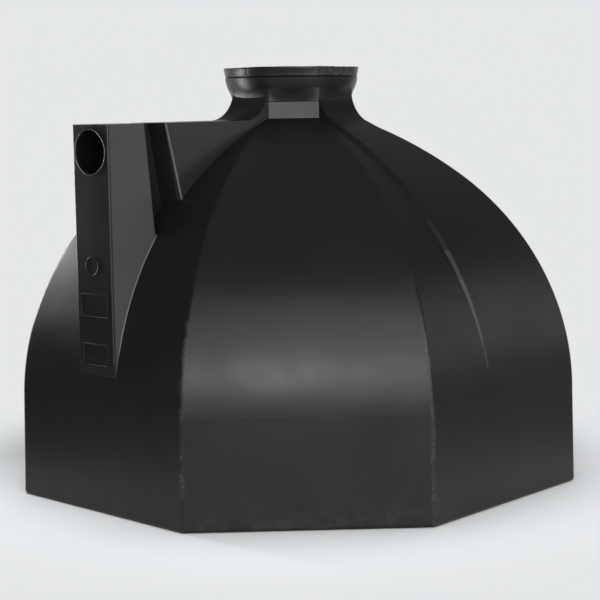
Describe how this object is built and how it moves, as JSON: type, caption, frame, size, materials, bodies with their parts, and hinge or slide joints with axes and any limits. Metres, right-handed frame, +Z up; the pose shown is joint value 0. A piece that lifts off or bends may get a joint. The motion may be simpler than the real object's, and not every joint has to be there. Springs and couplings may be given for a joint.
{
  "type": "septic tank",
  "caption": "Eight-sided domed plastic septic tank with a round open neck, an inlet arm and a lower outlet arm square to it, each with a pipe hole.",
  "frame": {"origin": "middle of the underside, on the floor", "axes": "+Z up through the mouth; the inlet arm points along -X and the outlet arm along +Y"},
  "size_m": [1.644, 1.644, 1.2506],
  "materials": {
    "tank_plastic": "satin black, slightly glossy, with fine scuffs"
  },
  "bodies": {
    "root": {"floor": "tank_plastic", "wall_east": "tank_plastic", "wall_northeast": "tank_plastic", "wall_north": "tank_plastic", "wall_northwest": "tank_plastic", "wall_west": "tank_plastic", "wall_southwest": "tank_plastic", "wall_south": "tank_plastic", "wall_southeast": "tank_plastic", "dome_east": "tank_plastic", "dome_northeast": "tank_plastic", "dome_north": "tank_plastic", "dome_northwest": "tank_plastic", "dome_west": "tank_plastic", "dome_southwest": "tank_plastic", "dome_south": "tank_plastic", "dome_southeast": "tank_plastic", "collar": "tank_plastic", "neck": "tank_plastic", "rim": "tank_plastic", "rib_east": "tank_plastic", "rib_south": "tank_plastic", "inlet_end_wall": "tank_plastic", "inlet_head_roof": "tank_plastic", "inlet_arm_roof": "tank_plastic", "inlet_head_right": "tank_plastic", "inlet_head_left": "tank_plastic", "inlet_arm_right": "tank_plastic", "inlet_arm_left": "tank_plastic", "outlet_end_wall": "tank_plastic", "outlet_head_roof": "tank_plastic", "outlet_arm_roof": "tank_plastic", "outlet_head_right": "tank_plastic", "outlet_head_left": "tank_plastic", "outlet_arm_right": "tank_plastic", "outlet_arm_left": "tank_plastic"}
  },
  "joints": []
}
